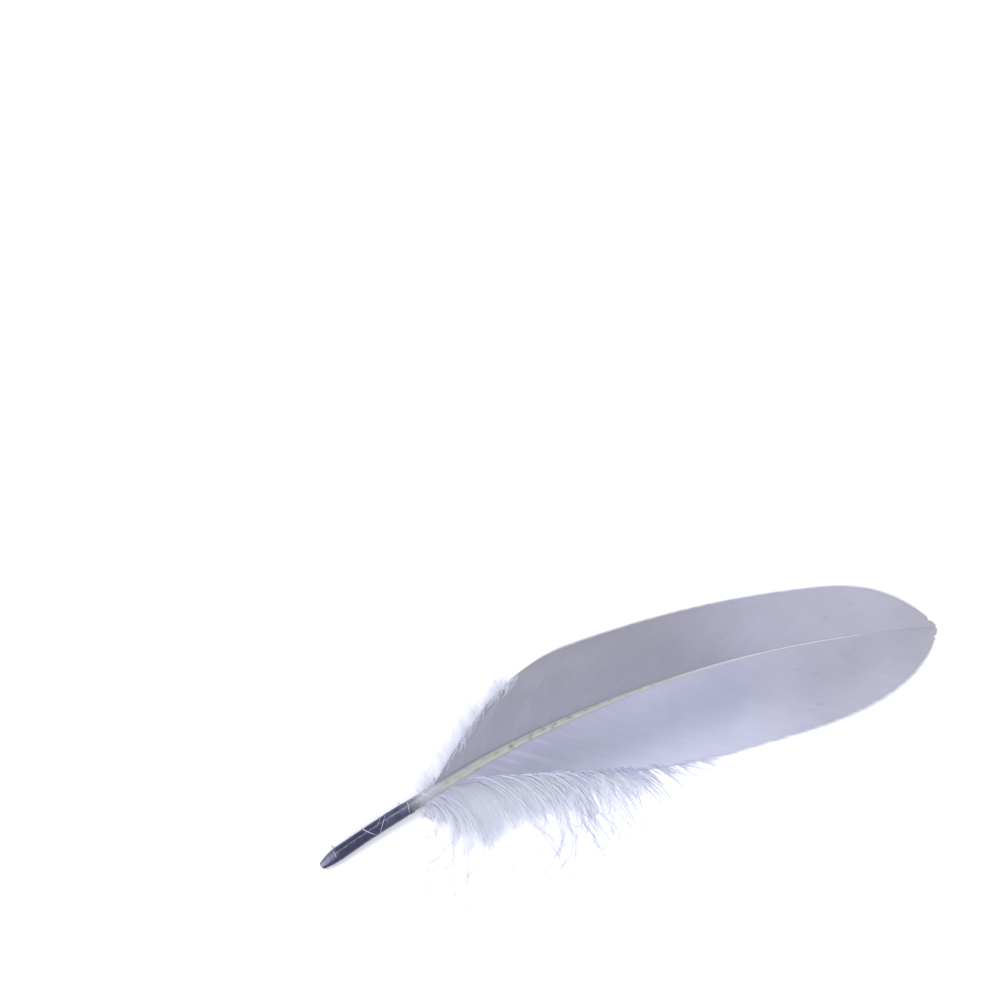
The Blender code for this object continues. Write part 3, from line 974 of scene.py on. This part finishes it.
# %% Barbules
def spindles(base, heading, bent, length, thickness):
    """Bent spindles: from base half the length along heading to a ring of three, then the
    other half along bent to a point. Five vertices and six triangles each."""
    middle = base + heading * length / 2
    tip = middle + bent * length / 2
    left = unit(np.cross(heading, np.array([0.03, 0.02, 1.0])))
    up = np.cross(left, heading)
    phi = 2 * np.pi * np.arange(3) / 3
    around = np.cos(phi)[None, :, None] * left[:, None] + np.sin(phi)[None, :, None] * up[:, None]
    ring = middle[:, None] - thickness / 2 * around
    points = np.concatenate([base[:, None], ring, tip[:, None]], axis=1)
    faces = np.array([(0, 2, 1), (0, 3, 2), (0, 1, 3), (4, 1, 2), (4, 2, 3), (4, 3, 1)])
    corners = (np.arange(len(base)) * 5)[:, None, None] + faces
    return points.reshape(-1, 3), corners.reshape(-1, 3)


def barbules(paths, per_thread, length, spread, profile, draw, thickness):
    """Barbules on both sides of each thread, at jittered steps along it. They stand off at
    the spread angle, thrown up or down by chance, and their second half bends towards the
    thread's end. profile gives their length along the thread as a share of length."""
    count, steps = paths.shape[:2]
    along, left, up = frames_along(paths)
    place_t = (np.arange(per_thread) + draw.random((count, per_thread))) / per_thread
    at = place_t * (steps - 1)
    low = np.minimum(at.astype(int), steps - 2)
    part = (at - low)[..., None]
    row = np.arange(count)[:, None]
    base = paths[row, low] * (1 - part) + paths[row, low + 1] * part
    ahead, beside, above = along[row, low], left[row, low], up[row, low]
    side = np.where(draw.random((count, per_thread, 1)) < 0.5, -1.0, 1.0)
    roll = np.radians(50) * (2 * draw.random((count, per_thread, 1)) - 1)
    away = np.cos(roll) * side * beside + np.sin(roll) * above
    angle = spread * (0.75 + 0.5 * draw.random((count, per_thread, 1)))
    heading = np.cos(angle) * ahead + np.sin(angle) * away
    stray = 0.45 * (draw.random((count, per_thread, 3)) - 0.5)
    bent = unit(np.cos(angle * 0.55) * ahead + np.sin(angle * 0.55) * away + stray)
    size = length[:, None, None] * profile(place_t)[..., None]
    size = size * (0.5 + 0.8 * draw.random((count, per_thread, 1)))
    flat = [a.reshape(-1, a.shape[-1]) for a in (base, heading, bent, size)]
    points, faces = spindles(*flat, thickness)
    points[:, 2] = np.maximum(points[:, 2], 2 * LOWEST)
    return points, faces, np.repeat(place_t.ravel(), 5)


# %% A piece of down
def bunched(paths, x, pitch, pull):
    """Paths whose ends lean towards the nearest of the places pitch apart along the shaft,
    by the share pull of the distance, and by the square of how far out they are."""
    lean = pull * (np.round(x / pitch) * pitch - x)
    t = np.linspace(0, 1, paths.shape[1])
    return paths + lean[:, None, None] * (t ** 2)[None, :, None] * np.array([0.8, 0.6, 0.0])


def make_down(name, node, paths, thickness, hairs, draw, dye, end=0.33, deepens=(0.30, 0.75)):
    """One piece of down: the threads, which took the dye by the first share of dye at the
    root and the second past the stretch where it deepens, and their barbules, if hairs says
    how they grow."""
    tubes = thread_tubes(paths, thickness, end)
    points = tubes.reshape(-1, 3)
    points[:, 2] = np.maximum(points[:, 2], LOWEST)
    faces = tube_faces(len(paths), paths.shape[1], THREAD_SIDES)
    t = np.linspace(0, 1, paths.shape[1])[None, :, None]
    out = np.broadcast_to(t, tubes.shape[:3]).ravel()
    first, last = (np.reshape(share, (-1, 1, 1)) for share in dye)
    thread = first + (last - first) * smooth_step(t, *deepens)
    thread = np.broadcast_to(thread, tubes.shape[:3]).ravel()
    if hairs:
        more, triangles, more_out = barbules(paths, draw=draw, **hairs)
        faces = [*faces, triangles + len(points)]
        points = np.concatenate([points, more])
        out = np.concatenate([out, more_out])
        thread = np.concatenate([thread, np.zeros_like(more_out)])
    piece = new_piece(name, points, faces, values={"out": out, "thread": thread}, smooth=False)
    hang_on_frame(piece, node, down_white)
    print(f"{name}: {len(paths)} threads")
    return piece


# %% [markdown]
# ## Down material
# Down is nearly white, with a breath of the lavender dye. It is a little bluer at its tips,
# where it is thinnest, and deeper near the vane, where it lies thickest. The threads took more
# dye than their barbules, and the longest took most of it past their middle, so they show as
# lines in the haze. Nothing in it has a gloss to speak of. A translucent share would be the way
# for a thick sheet, but these hairs are so thin that light gets round them anyway.

# %% Down material
down_white, tree, shader, place_of = new_material("down")
outward = read_value(tree, "out")
cloud = use_group(tree, clouds, vector=place_of, scale=90.0)
fleck = use_group(tree, streaks, vector=place_of, across=900.0, along=300.0)
colour = mix_colours(tree, cloud, (0.88, 0.90, 0.985), (0.93, 0.945, 0.99))
colour = mix_colours(tree, times(tree, fleck, 0.4), colour, (0.93, 0.945, 0.992))
colour = mix_colours(tree, ramp(tree, outward, 0.3, 1.0, 0.0, 0.5), colour, (0.87, 0.89, 0.99))
colour = mix_colours(tree, read_value(tree, "thread"), colour, (0.42, 0.43, 0.57))
thick = ramp(tree, outward, 0.55, 0.0)
colour = mix_colours(tree, thick, colour, (0.76, 0.76, 0.81), "MULTIPLY")
connect(
    tree, shader, base_color=colour,
    roughness=ramp(tree, cloud, 0.0, 1.0, 0.85, 0.70),
)
shader.inputs["Specular IOR Level"].default_value = 0.25
print("down:", len(tree.nodes), "nodes")

# %% [markdown]
# ## Where the down grows
# On the trailing side the down starts on the bare shaft just past the sheath, and further up
# it is the loose end of barbs whose first part is zipped into the vane. Near the quill it
# falls round like a fountain, and towards the tip it straightens to a row of lashes. A few
# long threads with short barbules reach well past the rest: those next to the quill turn back
# towards it, and some of the others hook round. One rule for the whole row would make a comb,
# so each kind has its own numbers, and all of them grow in the same way.

# %% Reach and roots of the down
# Place in mm from the cut end, and reach in mm.
REACH = np.array([
    (29.5, 2.0), (31.5, 7.0), (33.0, 13.5), (34.5, 17.5), (36.5, 20.0), (40.0, 21.0),
    (43.0, 19.5), (46.0, 17.5), (49.5, 16.0), (53.5, 13.6), (56.0, 16.5), (60.0, 13.4),
    (64.0, 11.4), (67.0, 13.0), (75.0, 12.0), (84.0, 10.5), (98.0, 8.0), (104.0, 6.0),
]) * MM


def trailing_reach(x):
    """How far past the vane the threads that start at x go. The list runs from the quill to
    the last of the lashes; between its entries the reach is in proportion."""
    return np.interp(x, *REACH.T)


def leading_reach(x):
    """The same for the leading side: a low hump."""
    return 7 * MM * smooth_step(x, 24 * MM, 40 * MM) * (1 - smooth_step(x, 44 * MM, 68 * MM))


def down_roots(x, vane, tucked, above):
    """Start points of threads: on the shaft's side, or inside the margin of the vane by
    tucked, and above the vane by that much."""
    margin = np.maximum(vane["width"](x) - tucked, 0.6 * shaft_radius(x))
    y = shaft_y(x) + vane["side"] * margin
    distance = np.maximum(margin - shaft_radius(x), 0)
    z = vane_height(x, distance, vane["slope"], vane["rise"])
    return np.stack([x, y, np.maximum(z + above, 0.1 * MM)], axis=1)


# %% Length of the barbules along a thread
def body_profile(t):
    """Barbules are short at the root, longest past the middle, and a little shorter at the end."""
    return np.interp(t, [0, 0.1, 0.3, 0.6, 1], [0.05, 0.35, 0.85, 1.0, 0.80])


def plume_profile(t):
    """Barbules are long to the middle and then shrink, which leaves a bare end."""
    return np.interp(t, [0, 0.1, 0.3, 0.55, 0.8, 1], [0.05, 0.35, 0.85, 1.0, 0.40, 0.12])


def lash_profile(t):
    """Barbules shrink steadily to almost nothing at the end, which leaves a pointed lash."""
    return np.interp(t, [0, 0.3, 1], [0.9, 1.0, 0.12])


# %% Paths of the trailing threads
def trailing_threads(x, draw, share, tucked, lift, curl, swing, turned=0.0, **more):
    """Paths of trailing threads from their places along the shaft. They set out along the
    barbs and end turned back: past straight down near the quill, less far up the shaft,
    and further by turned."""
    start = down_roots(x, TRAILING, tucked, 0.15 * MM)
    heading = shaft_heading(x) - trailing_angle(x) + BARB_BEND
    heading = heading - np.radians(10) * draw.standard_normal(len(x))
    final = np.radians(-111 + 40 * smooth_step(x, 56 * MM, 98 * MM))
    final = final + swing * draw.standard_normal(len(x)) - turned
    length = trailing_reach(x) * share + tucked
    return grow_threads(start, heading, final, length, lift, curl, draw, **more)


# %% Trailing down
draw = np.random.default_rng(300)
# Name, number, first root and span in mm, barbules on each thread, and profile of their length.
BODIES = (
    ("trailing_down_1", 135, 29.8, 14.0, 190, body_profile),
    ("trailing_down_2", 130, 37.0, 21.0, 170, body_profile),
    ("trailing_down_3", 130, 49.0, 33.0, 130, plume_profile),
)
for name, threads, first, span, hairs, profile in BODIES:
    x = np.sort((first + span * draw.random(threads)) * MM)
    share = 1.05 - 0.5 * draw.random(threads) ** 2 + 0.06 * draw.standard_normal(threads)
    tucked = (0.1 + 1.3 * draw.random(threads) ** 2) * MM
    paths = trailing_threads(
        x, draw, share, tucked, lift=(0.3 + 0.8 * draw.random(threads)) * MM,
        curl=0.5 * draw.random(threads), swing=np.radians(12))
    make_down(
        name, "trailing_down", bunched(paths, x, 1.9 * MM, 0.28), 0.06 * MM,
        dict(per_thread=hairs, length=(1.5 + 1.2 * draw.random(threads)) * MM,
             spread=np.radians(44), profile=profile, thickness=BARBULE_THICKNESS),
        draw, dye=(0.42, 0.40))

# %% Lashes
LASHES = 180
FIRST_LASH, LASH_SPAN, LASH_CROWDING = 61.0, 43.0, 1.45
x = np.sort((FIRST_LASH + LASH_SPAN * draw.random(LASHES) ** LASH_CROWDING) * MM)
start = down_roots(x, TRAILING, (0.2 + 1.4 * draw.random(LASHES)) * MM, 0.2 * MM)
final = np.interp(x / MM, [60, 76, 80, 84, 88, 95, 104], [-106, -98, -90, -72, -59, -48, -28])
final = np.radians(final + 9 * draw.standard_normal(LASHES))
barb = shaft_heading(x) - trailing_angle(x) + np.radians(7 * draw.standard_normal(LASHES))
length = np.interp(x / MM, [60, 70, 78, 82, 86, 92, 104], [12, 13.5, 15.0, 14.0, 11.2, 9.8, 7.0])
length = length * MM * np.clip(0.92 + 0.26 * draw.standard_normal(LASHES), 0.3, 1.4)
paths = grow_threads(
    start, 0.65 * barb + 0.35 * final, final, length, 0.4 * draw.random(LASHES) * MM,
    0.14 * draw.random(LASHES), draw)
deep = np.interp(x / MM, [61, 70, 80, 90, 104], [0.35, 0.55, 1.0, 0.9, 0.4])
make_down(
    "trailing_lashes", "trailing_down", bunched(paths, x, 2.8 * MM, 0.85), 0.16 * MM,
    dict(per_thread=80, length=(0.8 + 0.5 * draw.random(LASHES)) * MM,
         spread=np.radians(24), profile=lash_profile, thickness=0.026 * MM),
    draw, dye=(deep, 0.8 * deep))

# %% Long threads
# Name, number, first root and span in mm, reach as a share of the down's, thickness in mm, dye
# past the middle, share of them that hook round, and turn towards the quill in degrees.
LONG_THREADS = (
    ("trailing_stray_threads", 26, 31.0, 5.0, 2.10, 0.15, 0.8, 0.0, 44),
    ("trailing_hanging_threads", 44, 42.0, 27.0, 1.95, 0.17, 0.75, 0.15, 0),
    ("trailing_curled_threads", 20, 58.0, 17.0, 1.80, 0.18, 0.8, 0.35, 0),
)
for name, threads, first, span, reach, thick, dye, hooks, turned in LONG_THREADS:
    x = np.sort((first + span * draw.random(threads)) * MM)
    hook = np.where(draw.random(threads) < hooks, np.pi, 0.4) * np.sign(draw.random(threads) - 0.4)
    paths = trailing_threads(
        x, draw, reach * (0.8 + 0.4 * draw.random(threads)), 1.0 * MM,
        lift=(0.3 + 1.2 * draw.random(threads)) * MM, curl=0.5 * draw.random(threads),
        swing=np.radians(11), turned=np.radians(turned), hook=hook, steps=40)
    make_down(
        name, "trailing_down", paths, thick * MM,
        dict(per_thread=140, length=(0.4 + 0.6 * draw.random(threads)) * MM,
             spread=np.radians(34), profile=lash_profile, thickness=BARBULE_THICKNESS),
        draw, dye=(0.35, dye), end=0.75, deepens=(0.50, 0.80))

# %% Leading down
LEADING_THREADS = 140
FIRST_LEADING, LEADING_SPAN = 29.5, 33.0
x = np.sort((FIRST_LEADING + LEADING_SPAN * draw.random(LEADING_THREADS)) * MM)
tucked = (0.3 + 2.6 * draw.random(LEADING_THREADS) ** 2) * MM
start = down_roots(x, LEADING, tucked, 0.2 * MM)
heading = shaft_heading(x) + leading_angle(x) - BARB_BEND
heading = heading + np.radians(14) * (1 + draw.standard_normal(LEADING_THREADS))
final = heading + np.radians(34 + 26 * draw.standard_normal(LEADING_THREADS))
share = np.clip(1.0 + 0.30 * draw.standard_normal(LEADING_THREADS), 0.3, 1.8)
paths = grow_threads(
    start, heading, final, (leading_reach(x) + tucked + 2 * MM) * share,
    lift=(0.2 + 1.2 * draw.random(LEADING_THREADS)) * MM,
    curl=0.8 * draw.random(LEADING_THREADS), draw=draw)
make_down(
    "leading_down_plumes", "leading_down", bunched(paths, x, 2.3 * MM, 0.6), 0.09 * MM,
    dict(per_thread=115, length=(1.3 + 0.9 * draw.random(LEADING_THREADS)) * MM,
         spread=np.radians(36), profile=plume_profile, thickness=BARBULE_THICKNESS),
    draw, dye=(0.35, 0.5))

# %% [markdown]
# ## Strays
# A few loose filaments lie across the quill and stick to it, and a sliver of the sheath has
# curled up at its ragged edge. They are bent tubes too. Painted lines would vanish from the
# side; these stand off the horn by their own thickness.

# %% Filaments across the quill
def over_quill(first_x, last_x, first_side, last_side, steps=THREAD_STEPS):
    """A path that crosses the shaft from one place to another. Sides are in radii of the
    shaft, towards the leading vane. It follows the round top, and runs down beyond it."""
    t = np.linspace(0, 1, steps)
    x = first_x + (last_x - first_x) * t
    side = first_side + (last_side - first_side) * t
    radius = shaft_radius(x)
    turned = np.clip(side, -1, 1)
    top = shaft_z(x) + radius * np.sqrt(1 - turned ** 2 * 0.98)
    beyond = np.maximum(np.abs(side) - 1, 0) * radius
    z = np.maximum(top - 2.5 * beyond, TABLE_CLEARANCE) + 0.06 * MM
    return np.stack([x, shaft_y(x) + side * radius, z], axis=1)


# First and last place in mm from the cut end, then first and last side in radii.
crossings = np.array([
    (4.5, 4.9, 1.5, -0.2), (13.6, 17.2, 1.15, -1.15), (21.1, 17.9, 1.15, -0.75),
    (19.4, 18.0, 1.0, 0.4), (27.3, 26.8, 0.8, -0.7), (30.5, 34.5, 1.5, -1.0),
    (36.0, 33.5, 1.8, 0.1), (40.5, 38.5, 2.2, 0.4), (43.0, 44.5, 2.0, 0.2),
    (46.0, 44.0, 2.4, 0.5), (49.5, 48.0, 2.2, 0.3), (33.0, 31.5, 1.6, 0.2),
])
paths = np.stack([over_quill(a * MM, b * MM, c, d) for a, b, c, d in crossings])
make_down("quill_filaments", "trailing_down", paths, 0.27 * MM, None, draw, dye=(0.7, 0.7))

# %% Sheath sliver
SLIVER_STEP = 0.13 * MM
t = np.linspace(0, 1, 14)
curl_angle = np.radians(60 + 230 * t)
sliver_x = 25.1 * MM + SLIVER_STEP * np.cumsum(np.cos(curl_angle))
sliver_side = 0.95 * BARREL_RADIUS + SLIVER_STEP * np.cumsum(np.sin(curl_angle))
sliver = np.stack([sliver_x, shaft_y(sliver_x) + sliver_side, np.full_like(t, 2.6 * MM)], axis=1)
sliver_tube = thread_tubes(sliver[None], 0.16 * MM)
sliver_piece = new_piece(
    "sheath_sliver", sliver_tube, tube_faces(1, len(t), THREAD_SIDES),
    values={
        "straight": np.broadcast_to(sliver[None, :, None] / MM, sliver_tube.shape),
        "past_edge": np.full(sliver_tube.shape[:3], 3.0),
        "from_cut": np.full(sliver_tube.shape[:3], 20.0),
        "lead": np.full(sliver_tube.shape[:3], 0.5),
        "mark": np.zeros(sliver_tube.shape[:3]),
    })
hang_on_frame(sliver_piece, "shaft", horn)
